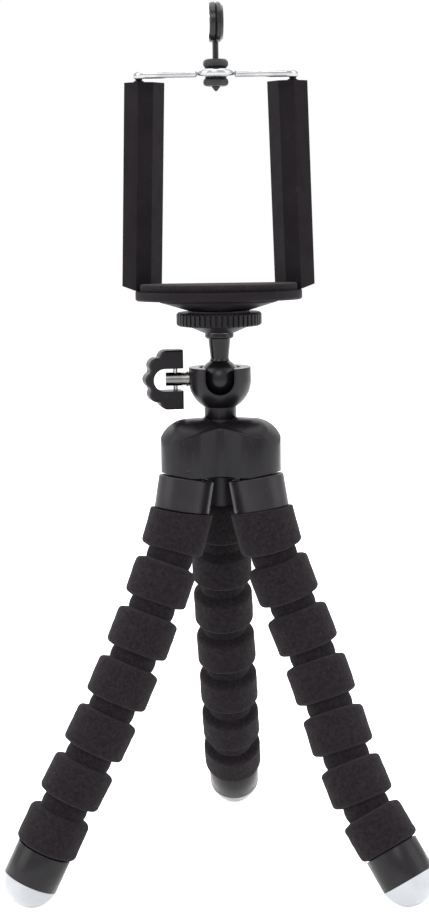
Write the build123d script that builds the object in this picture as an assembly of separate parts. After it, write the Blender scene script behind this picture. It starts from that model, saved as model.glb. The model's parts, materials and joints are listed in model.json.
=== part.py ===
from build123d import *
import os
from math import asin, atan2, cos, degrees, hypot, pi, radians, sin, sqrt, tan

# Phone tripod. Millimetres, +Z up, the clip's front is -Y. The origin is on the floor under the hub's axis.

# Stance: where the legs hinge, and how they stand
hinge_height = 126.2
hinge_radius = 10.8
collar_tilt = 10.5
leg_azimuth = {"left": 210.0, "right": 330.0, "rear": 90.0}
# Tilt from upright and sideways lean in degrees, from the top of each leg to its foot
tilt_angles = {
    "left": (20, 24, 25, 27, 29, 29, 26),
    "right": (13, 19, 23, 23, 24, 28, 36),
    "rear": (16, 19, 21, 20, 22, 28, 36),
}
lean_angles = {
    "left": (3, 1, 0, -1, -3, -4, -6),
    "right": (7, 7, 2, -4, -7, -6, -3),
    "rear": (1, -1, -2, -3, -2, -2, -2),
}

# Foam rings and the grooves between them
ring_count = 7
ring_dia = 18.3
ring_height = 12.0
ring_gap = 3.6
ring_corner = 1.4
ring_slope = 0.8
groove_dia = 13.6
socket_clearance = 0.25
core_dia = 3.2
core_clearance = 0.3
core_flare_angle = 26.0

# Collar at the top of each leg
collar_dia = 16.2
collar_height = 9.8
collar_wall = 1.8
collar_top_wall = 2.5
collar_corner = 0.5
hinge_drop = 5.0
first_ring_drop = 6.3
lug_width = 5.0
lug_radius = 3.0
lug_foot = 8.0
lug_foot_height = 1.0
lug_clearance = 0.2
pin_dia = 2.0
pin_clearance = 0.05
pin_end_clearance = 0.4

# Foot
ferrule_dia = 16.2
ferrule_length = 9.9
ferrule_wall = 1.1
ferrule_floor = 2.0
tip_radius = 8.1
tip_inset = 0.6
spigot_dia = 6.0

# Hub shell, its heights taken from the hinge pins upwards
arm_width = 16.0
arm_reach = 11.0
arm_round = 8.0
arm_crown = 8.6
valley_fillet = 2.5
skirt_drop = 4.2
hub_wall = 1.6
roof_thickness = 6.0
neck_pocket = 0.6
neck_seat_dia = 11.6
web_edge_inset = 2.5
web_rim_bulge = 0.6
web_seat_drop = 1.0
web_valley_drop = 0.9
web_edge_drop = 2.1
web_rim_drop = 3.7
splay_stop_angle = 3.0
stop_clearance = 0.15
stop_depth = 4.0

# Hub base, and the screw that holds hub and head together
base_recess = 1.5
base_clearance = 0.1
base_roof = 2.2
slot_clearance = 0.6
slot_inner = 5.5
boss_dia = 9.6
hub_screw_dia = 3.0
hub_screw_clearance = 0.1
hub_screw_head_dia = 5.4
hub_screw_head = 1.5
hub_screw_socket_dia = 2.0
hub_screw_socket_depth = 0.75
hub_screw_end_wall = 0.8

# Head cup and ball
neck_dia = 9.4
neck_length = 11.7
ball_radius = 6.0
ball_clearance = 0.2
cup_radius = 9.15
cup_drop = 0.4
cup_rise = 3.4
cup_rim_dia = 18.1
notch_width = 8.3
notch_depth = 4.2

# Ball stem, stud and locking wheel
stem_length = 11.8
stem_foot_dia = 5.3
stem_foot_flare_dia = 6.4
stem_flare_height = 1.2
stem_sink = 1.2
stem_top_dia = 6.5
stem_clearance = 0.1
flange_dia = 8.4
flange_thickness = 1.5
flange_chamfer = 0.4
stud_dia = 6.3
stud_chamfer = 0.6
stud_point = 0.4
stud_root_dia = 3.6
stud_root_length = 5.5
thread_clearance = 0.05
wheel_gap = 0.2
wheel_dia = 24.9
wheel_thickness = 3.9
wheel_bevel = 0.5
wheel_cone_height = 2.1
wheel_cone_foot_dia = 9.3
wheel_cone_dia = 19.0
wheel_flutes = 48
flute_depth = 0.45
washer_thickness = 0.5
washer_clearance = 0.2
washer_dia = 18.0

# Clamp bolt and flip knob, on the left of the cup
bolt_dia = 4.0
bolt_reach = 6.7
bolt_collar_dia = 4.6
bolt_collar_length = 0.6
bolt_clearance = 0.05
pad_length = 1.7
pad_overlap = 0.6
pad_clearance = 0.1
cross_pin_dia = 1.3
cross_pin_inset = 2.8
cross_pin_length = 13.4
knob_turn = 13.0
knob_centre_offset = 1.9
knob_right = 1.9
knob_reach = 5.2
knob_rise = 6.5
knob_bumps = 5
knob_bump_span = 160.0
knob_bump_dia = 4.6
knob_body_rim = 1.25
knob_thickness = 6.0
knob_edge = 0.5
knob_slot = 6.6
knob_slot_offset = 3.7

# Phone clip base, pad and boss
plate_half_width = 24.2
plate_bow_width = 0.6
plate_front = 13.5
plate_middle = 1.0
plate_rear = 11.0
plate_corner = 3.5
plate_thickness = 2.7
plate_edge = 0.5
foam_inset = 1.4
foam_thickness = 2.35
foam_edge = 0.5
foam_rear = 2.0
boss_height = 2.8
boss_foot_dia = 19.4
boss_width = 34.4
boss_depth = 21.0
boss_rim = 0.6
nut_dia = 11.0
nut_lip = 0.5
nut_skin = 0.8
stud_end_clearance = 0.2

# Side wings, with the wire's legs inside
wing_height = 60.2
wing_leg_x = 22.3
wing_leg_y = 6.0
wing_shift = 0.9
wing_chamfer = 1.5
wing_chamfer_reach = 4.6
wing_outline_points = (
    (5.2, 0.4), (1.0, -3.2), (-3.3, -1.2), (-6.4, 4.0),
    (-5.5, 4.7), (-2.6, 2.7), (1.5, 3.2), (4.4, 2.0),
)
peg_dia = 3.0
peg_length = 2.0
peg_offset = 2.6
pocket_dia = 3.4
pocket_floor = 5.1

# Wire bracket, its bushings and springs
wire_dia = 2.3
wire_rise = 1.75
wire_foot_gap = 1.5
wire_stop_dia = 3.0
wire_stop_length = 2.0
bar_y = -1.0
bar_x = 23.0
leg_bend = 1.5
bar_bend = 2.5
loop_radius = 4.35
loop_setback = 2.2
loop_entry = 1.4
bushing_dia = 2.9
bushing_rise = 0.35
bushing_depth = 2.6
bushing_clearance = 0.05
spring_dia = 3.1
spring_bore = 2.5

# Mirror and its grommet
grommet_clearance = 0.15
grommet_gap = 0.2
bulge_dia = 7.2
upper_bulge_height = 2.6
lower_bulge_height = 2.3
bulge_round = 0.45
mirror_neck = 4.5
mirror_stem_dia = 1.76
mirror_stem_overlap = 1.0
mirror_barb_dia = 2.4
mirror_barb_length = 1.4
mirror_barb_point = 0.3
mirror_dia = 11.6
mirror_thickness = 4.1
mirror_rim_step = 1.0
mirror_rim_width = 0.8
mirror_rim_taper = 0.2
mirror_edge_round = 0.5
mirror_groove = 0.35
mirror_glass_dia = 10.3
mirror_glass_clearance = 0.03
mirror_glass_thickness = 1.0
mirror_glass_crown = 0.35
mirror_turn = 4.0

# Sizes and heights that follow from those above
pin_length = arm_width - 2 * hub_wall - 2 * pin_end_clearance
hub_bottom = hinge_height - skirt_drop
base_bottom = hub_bottom + base_recess
slot_roof = hinge_height + lug_radius + slot_clearance
cavity_top = slot_roof + base_roof
neck_bottom = cavity_top + roof_thickness
hub_crest = neck_bottom + neck_pocket
web_top = neck_bottom - web_seat_drop
ball_height = neck_bottom + neck_length
cup_rim = ball_height + cup_rise
hub_screw_end = ball_height - ball_radius - ball_clearance - hub_screw_end_wall
flange_bottom = ball_height + stem_length
flange_top = flange_bottom + flange_thickness
wheel_cone_bottom = flange_top + wheel_gap
wheel_bottom = wheel_cone_bottom + wheel_cone_height
wheel_top = wheel_bottom + wheel_thickness
boss_bottom = wheel_top + washer_thickness + washer_clearance
plate_bottom = boss_bottom + boss_height
plate_top = plate_bottom + plate_thickness
foam_top = plate_top + foam_thickness
nut_bottom = boss_bottom + nut_lip
nut_top = plate_top - nut_skin
stud_top = nut_top + stud_point
pocket_bottom = plate_top + pocket_floor
wing_top = plate_top + wing_height
wire_height = wing_top + wire_rise
wire_foot = pocket_bottom + wire_foot_gap
bulge_low = wire_height - wire_dia / 2 - grommet_gap
bulge_high = wire_height + wire_dia / 2 + grommet_gap
lower_bulge_bottom = bulge_low - lower_bulge_height
upper_bulge_top = bulge_high + upper_bulge_height
mirror_centre = upper_bulge_top + mirror_neck + mirror_dia / 2
cross_pin_place = cross_pin_inset - cup_radius - bolt_reach
loop_y = bar_y - loop_setback

sides = {"left": -1, "right": 1}
ring_pitch = ring_height + ring_gap
up = Vector(0, 0, 1)


# Directions of a leg: outwards from the hub, and sideways across the leg
def leg_directions(leg):
    turn = radians(leg_azimuth[leg])
    return Vector(cos(turn), sin(turn), 0), Vector(-sin(turn), cos(turn), 0)


# The way down a leg at a tilt from upright and a sideways lean
def way_down(leg, tilt, lean=0.0):
    outwards, sideways = leg_directions(leg)
    tilt, lean = radians(tilt), radians(lean)
    return outwards * (sin(tilt) * cos(lean)) + sideways * sin(lean) - up * (cos(tilt) * cos(lean))


# A plane on a leg whose z runs up the leg and whose x points outwards
def leg_plane(leg, point, down):
    sideways = leg_directions(leg)[1]
    return Plane(origin=point, x_dir=sideways.cross(-down).normalized(), z_dir=-down)


# The value of a list of angles at one ring, however many rings there are
def along(values, ring):
    place = ring / max(ring_count - 1, 1) * (len(values) - 1)
    low = min(int(place), len(values) - 2)
    return values[low] + (values[low + 1] - values[low]) * (place - low)


# Planes of the collar's top and lower face, each ring's centre and the tip's centre, for one splay factor
def chain(leg, splay):
    outwards = leg_directions(leg)[0]
    down = way_down(leg, collar_tilt)
    collar = outwards * hinge_radius + up * hinge_height + down * hinge_drop
    face = collar + down * collar_height
    planes = [leg_plane(leg, collar, down), leg_plane(leg, face, down)]
    point = face
    reach = first_ring_drop
    for ring in range(ring_count):
        down = way_down(leg, along(tilt_angles[leg], ring) * splay, along(lean_angles[leg], ring))
        point = point + down * reach
        planes.append(leg_plane(leg, point, down))
        point = point + down * (ring_pitch / 2)
        reach = ring_pitch / 2
    tip = planes[-1].origin + down * (ring_height / 2 + ferrule_length - tip_inset)
    planes.append(leg_plane(leg, tip, down))
    return planes


# The splay is adjusted until the foot stands on the floor
def standing_leg(leg):
    low, high = 0.2, 2.2
    for _ in range(60):
        middle = (low + high) / 2
        if chain(leg, middle)[-1].origin.Z < tip_radius:
            low = middle
        else:
            high = middle
    return chain(leg, (low + high) / 2)


# Centre of the groove below a ring, where the leg bends
def groove_centre(planes, ring):
    plane = planes[2 + ring]
    return plane.origin - plane.z_dir * (ring_pitch / 2)


def cylinder(radius, bottom, top):
    return Pos(0, 0, (bottom + top) / 2) * Cylinder(radius, top - bottom)


# A solid of revolution from points of radius and height
def turned(*points):
    outline = Polyline(*[(r, 0, z) for r, z in points], close=True)
    return revolve(make_face(outline), Axis.Z)


# Leg pieces

# A collar is a cup over the foam, with a lug that swings on its pin
def make_collar(planes):
    inner = collar_dia / 2 - collar_wall
    cup = cylinder(collar_dia / 2, -collar_height, 0)
    cup = fillet(cup.edges().filter_by(GeomType.CIRCLE), collar_corner)
    cup -= cylinder(inner, -collar_height, -collar_top_wall)
    cup -= cylinder(core_dia / 2, -collar_top_wall, -collar_top_wall / 2)
    foot = Pos(0, 0, -lug_foot_height / 2) * Box(lug_foot, lug_width, lug_foot_height)
    ear = Pos(0, 0, hinge_drop) * Rot(90, 0, 0) * Cylinder(lug_radius, lug_width)
    rise = atan2(hinge_drop, lug_foot / 2)
    reach = hypot(hinge_drop, lug_foot / 2)
    touch = rise + asin(lug_radius / reach)
    length = sqrt(reach**2 - lug_radius**2)
    side_x = lug_foot / 2 - length * cos(touch)
    side_z = length * sin(touch)
    web = Polyline((-lug_foot / 2, 0), (lug_foot / 2, 0), (side_x, side_z), (-side_x, side_z), close=True)
    blade = extrude(Plane.XZ * make_face(web), lug_width / 2, both=True)
    lug = foot + ear + blade
    lug -= Pos(0, 0, hinge_drop) * Rot(90, 0, 0) * Cylinder(pin_dia / 2 + pin_clearance, lug_width * 2)
    return planes[0] * (cup + lug)


# A ring of foam. Its upper ball sits in the socket of the ring above, so that the leg bends at each groove
def make_ring(planes, ring):
    groove = groove_dia / 2
    bore = core_dia / 2 + core_clearance
    first, last = ring == 0, ring == ring_count - 1
    half = ring_height / 2
    outer = ring_dia / 2
    outline = [(0, -half), (groove, -half), (outer, ring_slope - half)]
    if first:
        outline += [(outer, ring_height), (0, ring_height)]
    else:
        outline += [(outer, half - ring_slope), (groove, half), (0, half)]
    body = turned(*outline)
    corners = [edge for edge in body.edges().filter_by(GeomType.CIRCLE) if edge.radius > outer - 0.001]
    body = fillet([edge for edge in corners if edge.center().Z < half], ring_corner)
    hinge = ring_pitch / 2
    if not first:
        body += Pos(0, 0, hinge) * Sphere(groove)
    if not last:
        body -= Pos(0, 0, -hinge) * Sphere(groove + socket_clearance)
    else:
        plug = ferrule_dia / 2 - ferrule_wall
        body += cylinder(plug, ferrule_floor - half - ferrule_length, 0)
    if not first:
        body -= cylinder(bore, -2 * ring_pitch, 2 * ring_pitch)
        mouth = bore + groove * tan(radians(core_flare_angle))
        body -= Pos(0, 0, hinge + groove / 2) * Cone(bore, mouth, groove)
        return planes[2 + ring] * body
    # The top ring is cut square to the collar, with a neck up into it
    body = planes[2] * body
    body -= planes[1] * (Pos(0, 0, ring_height) * Box(3 * ring_dia, 3 * ring_dia, 2 * ring_height))
    inner = collar_dia / 2 - collar_wall
    body += planes[1] * cylinder(inner, -collar_wall, collar_height - collar_top_wall)
    body -= planes[2] * cylinder(bore, -2 * ring_pitch, first_ring_drop)
    return body - planes[1] * (Sphere(bore) + cylinder(bore, 0, 2 * collar_height))


def make_ferrule(planes):
    top = -ring_height / 2
    bottom = top - ferrule_length
    shell = cylinder(ferrule_dia / 2, bottom, top)
    shell -= cylinder(ferrule_dia / 2 - ferrule_wall, bottom + ferrule_floor, top)
    shell -= cylinder(spigot_dia / 2, bottom, bottom + ferrule_floor)
    return planes[1 + ring_count] * shell


# The domed tip stands on the floor, with a spigot up through the ferrule's floor
def make_tip(planes):
    bottom = -ring_height / 2 - ferrule_length
    dome = Pos(0, 0, bottom + tip_inset) * Sphere(tip_radius)
    dome -= cylinder(ring_dia, bottom, bottom + 3 * tip_radius)
    dome += cylinder(spigot_dia / 2, bottom - tip_inset, bottom + ferrule_floor)
    return planes[1 + ring_count] * dome


# The core wire runs straight inside each ring and turns at each groove
def make_core(planes):
    half = ring_height / 2
    end = ferrule_floor - half - ferrule_length
    last = planes[1 + ring_count]
    points = [planes[0].origin - planes[0].z_dir * (collar_top_wall / 2), planes[1].origin]
    points += [groove_centre(planes, ring) for ring in range(ring_count - 1)]
    points.append(last.origin + last.z_dir * end)
    wire = None
    for start, stop in zip(points, points[1:]):
        length = (stop - start).length
        plane = Plane(origin=start, z_dir=(stop - start).normalized())
        span = plane * cylinder(core_dia / 2, 0, length)
        wire = span if wire is None else wire + span + Pos(*start) * Sphere(core_dia / 2)
    return wire


# Hub pieces

# Plan of three round-ended arms, of a given width
def three_arms(width):
    plan = Circle(width / 2)
    for azimuth in leg_azimuth.values():
        arm = Pos(arm_reach / 2, 0) * Rectangle(arm_reach, width) + Pos(arm_reach, 0) * Circle(width / 2)
        plan += Rot(0, 0, azimuth) * arm
    return plan


# Something built along +X, repeated for each leg
def at_each_leg(shape):
    return [Rot(0, 0, azimuth) * shape for azimuth in leg_azimuth.values()]


# An arm has upright sides, a top that is round across it, and an end that falls off towards the rim
def make_hub_arm():
    rim = arm_reach + arm_width / 2
    slot = Pos(arm_reach / 2, 0) * SlotCenterToCenter(arm_reach, arm_width)
    crown_centre = hub_crest - arm_crown
    crown = Pos(arm_reach / 2, 0, crown_centre) * Rot(0, 90, 0) * Cylinder(arm_crown, arm_reach)
    for x in (0, arm_reach):
        crown += Pos(x, 0, crown_centre) * Sphere(arm_crown)
    arm = Pos(0, 0, hub_bottom) * extrude(slot, hub_crest - hub_bottom) & crown
    arm += Pos(0, 0, hub_bottom) * extrude(slot, crown_centre - hub_bottom)
    flat, shoulder = rim - arm_round, hub_crest - arm_round
    reach = arm_round * sin(radians(45))
    bend = ThreePointArc((rim, 0, shoulder), (flat + reach, 0, shoulder + reach), (flat, 0, hub_crest))
    rest = Polyline((flat, 0, hub_crest), (0, 0, hub_crest), (0, 0, hub_bottom), (rim, 0, hub_bottom),
                    (rim, 0, shoulder))
    return arm & revolve(make_face([bend, rest]), Axis.Z)


# The shell has an arm over each leg, and a low dome that fills the valleys between them
def make_hub_shell():
    rim = arm_reach + arm_width / 2
    height = hub_crest - hub_bottom
    plan = three_arms(arm_width)
    inner = plan.vertices().filter_by(lambda v: hypot(v.X, v.Y) < arm_width * 0.6)
    plan = fillet(inner, valley_fillet)
    prism = Pos(0, 0, hub_bottom) * extrude(plan, height)
    valley, edge_radius = arm_width / sqrt(3), rim - web_edge_inset
    valley_top = web_top - web_valley_drop
    edge_top = valley_top - web_edge_drop
    rim_top = edge_top - web_rim_drop
    bulge = ((rim + edge_radius + web_rim_bulge * 2) / 2, 0, (rim_top + edge_top + web_rim_bulge) / 2)
    edge = ThreePointArc((rim, 0, rim_top), bulge, (edge_radius, 0, edge_top))
    cap = ThreePointArc((edge_radius, 0, edge_top), (valley, 0, valley_top), (0, 0, web_top))
    rest = Polyline((0, 0, web_top), (0, 0, hub_bottom), (rim, 0, hub_bottom), (rim, 0, rim_top))
    shell = prism & revolve(make_face([edge, cap, rest]), Axis.Z)
    for arm in at_each_leg(make_hub_arm()):
        shell += arm
    # The neck stands on a boss in a round seat
    shell -= cylinder(neck_seat_dia / 2, web_top, hub_crest)
    shell += cylinder(boss_dia / 2, hub_bottom, neck_bottom)
    cavity = extrude(three_arms(arm_width - 2 * hub_wall), cavity_top - hub_bottom)
    shell -= Pos(0, 0, hub_bottom) * cavity
    shell -= cylinder(hub_screw_dia / 2 + hub_screw_clearance, cavity_top, neck_bottom)
    # The underside is cut back where a splayed collar stops against it
    stop = Pos(0, 0, stop_clearance - hinge_drop - rim / 2) * Box(2 * rim, 2 * rim, rim)
    stop = Pos(hinge_radius, 0, hinge_height) * Rot(0, -(collar_tilt + splay_stop_angle), 0) * stop
    for each in at_each_leg(stop):
        shell -= each & cylinder(2 * rim, hub_bottom - rim, hub_bottom + stop_depth)
    return shell


# The base fills the shell, with a slot and a pin for each leg's lug
def make_hub_base():
    width = arm_width - 2 * hub_wall - 2 * base_clearance
    base = Pos(0, 0, base_bottom) * extrude(three_arms(width), cavity_top - base_bottom)
    slot_end = arm_reach + arm_width
    slot = Box(slot_end - slot_inner, lug_width + 2 * lug_clearance, slot_roof - base_bottom)
    slot = Pos((slot_end + slot_inner) / 2, 0, (slot_roof + base_bottom) / 2) * slot
    hole = Pos(hinge_radius, 0, hinge_height) * Rot(90, 0, 0) * Cylinder(pin_dia / 2, arm_width)
    for each in at_each_leg(slot + hole):
        base -= each
    return base - cylinder(hub_screw_dia / 2 + hub_screw_clearance, base_bottom, cavity_top)


def make_hinge_pins():
    pin = Pos(hinge_radius, 0, hinge_height) * Rot(90, 0, 0) * Cylinder(pin_dia / 2, pin_length)
    return Compound(at_each_leg(pin))


def make_hub_screw():
    bottom = base_bottom - hub_screw_head
    head = cylinder(hub_screw_head_dia / 2, bottom, base_bottom)
    head -= cylinder(hub_screw_socket_dia / 2, bottom, bottom + hub_screw_socket_depth)
    return head + cylinder(hub_screw_dia / 2, base_bottom, hub_screw_end)


# Head pieces

# The cup is round below and straight above, with a bore for the ball, a notch in front and the bolt's hole
def make_head_cup():
    centre = Pos(0, 0, ball_height)
    middle = ball_height - cup_drop
    bore = ball_radius + ball_clearance
    cup = Pos(0, 0, middle) * Sphere(cup_radius) - cylinder(2 * cup_radius, middle, middle + 2 * cup_radius)
    cup += turned((0, middle), (cup_radius, middle), (cup_rim_dia / 2, cup_rim), (0, cup_rim))
    cup += cylinder(neck_dia / 2, neck_bottom, ball_height)
    cup -= centre * Sphere(bore) + cylinder(bore, ball_height, cup_rim)
    half = notch_width / 2
    notch = Pos(0, ball_height - notch_depth + half) * Circle(half)
    notch += Pos(0, ball_height - notch_depth + half + cup_radius) * Rectangle(notch_width, 2 * cup_radius)
    cup -= extrude(Plane.XZ * notch, 2 * cup_radius)
    hole = bolt_dia / 2 + bolt_clearance
    cup -= Pos(-cup_radius, 0, ball_height) * Rot(0, 90, 0) * Cylinder(hole, 2 * cup_radius - bore)
    return cup - cylinder(hub_screw_dia / 2, neck_bottom, hub_screw_end)


def make_ball():
    return Pos(0, 0, ball_height) * Sphere(ball_radius)


# The stem tapers from the flange down towards the ball, and flares out where it meets it
def make_ball_stem():
    foot = ball_height + ball_radius - stem_sink
    flare = foot + stem_flare_height
    flange = flange_dia / 2
    stem = turned((0, foot), (stem_foot_flare_dia / 2, foot), (stem_foot_dia / 2, flare),
                  (stem_top_dia / 2, flange_bottom), (flange - flange_chamfer, flange_bottom),
                  (flange, flange_bottom + flange_chamfer), (flange, flange_top), (0, flange_top))
    stem -= Pos(0, 0, ball_height) * Sphere(ball_radius + stem_clearance)
    return stem - cylinder(stud_root_dia / 2, flange_top - stud_root_length, flange_top)


def make_tripod_screw():
    stud = cylinder(stud_dia / 2, flange_top, stud_top)
    stud = chamfer(stud.edges().filter_by(GeomType.CIRCLE).sort_by(Axis.Z)[-1], stud_chamfer)
    return stud + cylinder(stud_root_dia / 2, flange_top - stud_root_length, flange_top)


# The locking wheel has fine flutes around its rim and a cone below
def make_locking_wheel():
    radius = wheel_dia / 2
    step = 2 * pi / wheel_flutes
    outline = []
    for flute in range(wheel_flutes):
        for share, depth in ((-0.3, 0), (0.3, 0), (0.42, flute_depth), (0.58, flute_depth)):
            turn = (flute + share) * step
            outline.append(((radius - depth) * cos(turn), (radius - depth) * sin(turn)))
    rim = extrude(make_face(Polyline(*outline, close=True)), wheel_top - wheel_bottom)
    rim = Pos(0, 0, wheel_bottom) * rim
    flat = radius - wheel_bevel
    bevel = turned((0, wheel_bottom), (flat, wheel_bottom), (radius, wheel_bottom + wheel_bevel),
                   (radius, wheel_top - wheel_bevel), (flat, wheel_top), (0, wheel_top))
    cone = turned((0, wheel_cone_bottom), (wheel_cone_foot_dia / 2, wheel_cone_bottom),
                  (wheel_cone_dia / 2, wheel_bottom), (0, wheel_bottom))
    wheel = (rim & bevel) + cone
    return wheel - cylinder(stud_dia / 2 + thread_clearance, wheel_cone_bottom, wheel_top)


def make_wheel_washer():
    washer = cylinder(washer_dia / 2, wheel_top, wheel_top + washer_thickness)
    return washer - cylinder(stud_dia / 2 + thread_clearance, wheel_top, wheel_top + washer_thickness)


# A round bar along X between two places, at the height of the ball
def cross_bar(radius, start, end):
    return Pos((start + end) / 2, 0, ball_height) * Rot(0, 90, 0) * Cylinder(radius, end - start)


def make_clamp_bolt():
    bolt = cross_bar(bolt_dia / 2, -cup_radius - bolt_reach, -ball_radius - pad_length)
    shoulder = -cup_radius - bolt_clearance
    bolt += cross_bar(bolt_collar_dia / 2, shoulder - bolt_collar_length, shoulder)
    return bolt - Pos(cross_pin_place, 0, ball_height) * Cylinder(cross_pin_dia / 2, 2 * bolt_dia)


# The pad's inner face is hollow, to fit the ball
def make_pressure_pad():
    start = -ball_radius - pad_length + pad_clearance
    pad = cross_bar(bolt_dia / 2 - bolt_clearance, start, -ball_radius + pad_overlap)
    return pad - Pos(0, 0, ball_height) * Sphere(ball_radius + pad_clearance)


def make_cross_pin():
    return Pos(cross_pin_place, 0, ball_height) * Cylinder(cross_pin_dia / 2, cross_pin_length)


# A plan in the plane of the bolt, made as thick as the knob and bevelled all round
def bevelled(plan):
    solid = extrude(Plane.XZ * plan, knob_thickness / 2, both=True)
    edges = [edge for face in solid.faces().filter_by(Axis.Y) for edge in face.outer_wire().edges()]
    return chamfer(edges, knob_edge)


# The flip knob is a scalloped C around its pin, turned a little at rest
def make_flip_knob():
    first = radians(180 - knob_bump_span / 2)
    bump_radius = knob_bump_dia / 2
    half_height = knob_rise * sin(first) + bump_radius
    arm = knob_right + knob_centre_offset
    start = knob_reach * cos(first)
    knob = bevelled(Pos((arm + start) / 2, 0) * Rectangle(arm - start, 2 * half_height))
    body = bevelled(Ellipse(knob_reach + knob_body_rim, knob_rise + knob_body_rim))
    knob += body & Pos(-half_height, 0, 0) * Box(2 * half_height, knob_thickness, 2 * half_height)
    for bump in range(knob_bumps):
        turn = first + radians(bump * knob_bump_span / max(knob_bumps - 1, 1))
        bump_plan = Pos(knob_reach * cos(turn), knob_rise * sin(turn)) * Circle(bump_radius)
        knob += bevelled(bump_plan)
    slot = knob_centre_offset - knob_slot_offset
    opening = Pos(slot, 0) * Circle(knob_slot / 2) + Pos(slot + arm, 0) * Rectangle(2 * arm, knob_slot)
    knob -= extrude(Plane.XZ * opening, knob_thickness, both=True)
    knob = Pos(-knob_centre_offset, 0, 0) * knob
    knob -= Cylinder(cross_pin_dia / 2 + pin_clearance, cross_pin_length + knob_edge)
    return Pos(cross_pin_place, 0, ball_height) * Rot(0, 0, knob_turn) * knob


# Clip pieces

# Plan of the clip base: a bowed front and a squarer rear, drawn in by an inset
def clip_plan(inset):
    width = plate_half_width - inset
    depth = plate_front + plate_middle - inset
    front = Ellipse(width + plate_bow_width, depth)
    front &= Pos(0, -depth) * Rectangle(2 * width, 2 * depth)
    rear_depth = plate_rear - inset - plate_middle
    rear = Pos(0, rear_depth / 2) * Rectangle(2 * width, rear_depth)
    rear = fillet(rear.vertices().group_by(Axis.Y)[-1], plate_corner - inset / 2)
    return Pos(0, plate_middle) * (front + rear)


# Outline of a wing around its wire leg, with the front towards -Y, for the right-hand wing
def wing_outline(side, shift):
    x, y = wing_leg_x, wing_leg_y
    points = [(side * (x + px - shift), y + py) for px, py in wing_outline_points]
    return make_face(Polyline(*points, close=True))


def wing_body(side):
    low = Pos(0, 0, plate_top) * wing_outline(side, -wing_shift)
    high = Pos(0, 0, wing_top) * wing_outline(side, wing_shift)
    return loft([low, high])


def wing_peg(side, dia):
    place = Pos(side * (wing_leg_x - peg_offset), wing_leg_y, plate_top - peg_length / 2)
    return place * Cylinder(dia / 2, peg_length)


def make_wing(side):
    wing = wing_body(side)
    reach = wing_chamfer_reach
    corner = Polyline((plate_half_width, plate_top), (plate_half_width + reach, plate_top),
                      (plate_half_width + reach, plate_top + wing_chamfer), close=True)
    wedge = extrude(Plane.XZ * make_face(corner), 4 * plate_rear, both=True)
    wing -= wedge if side > 0 else mirror(wedge, Plane.YZ)
    wing -= Pos(side * wing_leg_x, wing_leg_y, 0) * cylinder(pocket_dia / 2, pocket_bottom, wing_top)
    return wing + wing_peg(side, peg_dia)


# The base plate carries the wings on pegs, and the nut in its middle
def make_clip_base():
    plate = Pos(0, 0, plate_bottom) * extrude(clip_plan(0), plate_thickness)
    plate = chamfer(plate.edges().group_by(Axis.Z)[0], plate_edge)
    plate -= cylinder(nut_dia / 2, plate_bottom, nut_top)
    plate -= cylinder(stud_dia / 2 + thread_clearance, nut_top, stud_top + stud_end_clearance)
    for side in sides.values():
        plate -= wing_peg(side, peg_dia)
    return plate


# The foam pad is cut away behind, around the feet of the wings
def make_clip_pad():
    pad = Pos(0, 0, plate_top) * extrude(clip_plan(foam_inset), foam_thickness)
    behind = Box(4 * plate_half_width, 2 * plate_rear, 4 * foam_thickness)
    pad -= Pos(0, foam_rear + plate_rear, plate_top) * behind
    return chamfer(pad.edges().group_by(Axis.Z)[-1], foam_edge)


# The boss flares from a round foot up to an oval rim under the plate
def make_clip_boss():
    foot = Pos(0, 0, boss_bottom) * Circle(boss_foot_dia / 2)
    rim = Pos(0, 0, plate_bottom - boss_rim) * Ellipse(boss_width / 2, boss_depth / 2)
    boss = loft([foot, rim]) + extrude(rim, boss_rim)
    boss -= cylinder(nut_dia / 2, nut_bottom, plate_bottom)
    return boss - cylinder(stud_dia / 2 + thread_clearance, boss_bottom, nut_bottom)


def make_nut_insert():
    nut = cylinder(nut_dia / 2, nut_bottom, nut_top)
    return nut - cylinder(stud_dia / 2 + thread_clearance, nut_bottom, nut_top)


# The bracket is one wire, from one wing up, forward, across with a loop in the middle, and down the other
def make_wire_bracket():
    half = loop_radius + loop_entry / 2
    plan = [(wing_leg_x, wing_leg_y), (bar_x, bar_y), (half, bar_y), (loop_radius, loop_y),
            (loop_radius, loop_y - loop_radius)]
    side = [(wing_leg_x, wing_leg_y, wire_foot)] + [(x, y, wire_height) for x, y in plan]
    left = [(-x, y, z) for x, y, z in side]
    bends = [leg_bend, bar_bend, loop_entry, loop_entry / 2, loop_radius - 0.05]
    path = FilletPolyline(*left, *reversed(side), radius=bends + bends[::-1])
    section = Plane(origin=path @ 0, z_dir=path % 0) * Circle(wire_dia / 2)
    wire = sweep(section, path)
    for x in (-wing_leg_x, wing_leg_x):
        stop = cylinder(wire_stop_dia / 2, wire_foot, wire_foot + wire_stop_length)
        wire += Pos(x, wing_leg_y, 0) * stop
    return wire


# A bushing guides each leg of the wire at the top of its wing
def make_wing_bushings():
    low, high = wing_top - bushing_depth, wing_top + bushing_rise
    bushing = cylinder(pocket_dia / 2, low, wing_top) + cylinder(bushing_dia / 2, wing_top, high)
    bushing -= cylinder(wire_dia / 2 + bushing_clearance, low, high)
    return Compound([Pos(side * wing_leg_x, wing_leg_y, 0) * bushing for side in sides.values()])


# The springs are plain sleeves between the wire's stops and the bushings
def make_clip_springs():
    bottom, top = wire_foot + wire_stop_length, wing_top - bushing_depth
    spring = cylinder(spring_dia / 2, bottom, top) - cylinder(spring_bore / 2, bottom, top)
    return Compound([Pos(side * wing_leg_x, wing_leg_y, 0) * spring for side in sides.values()])


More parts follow.
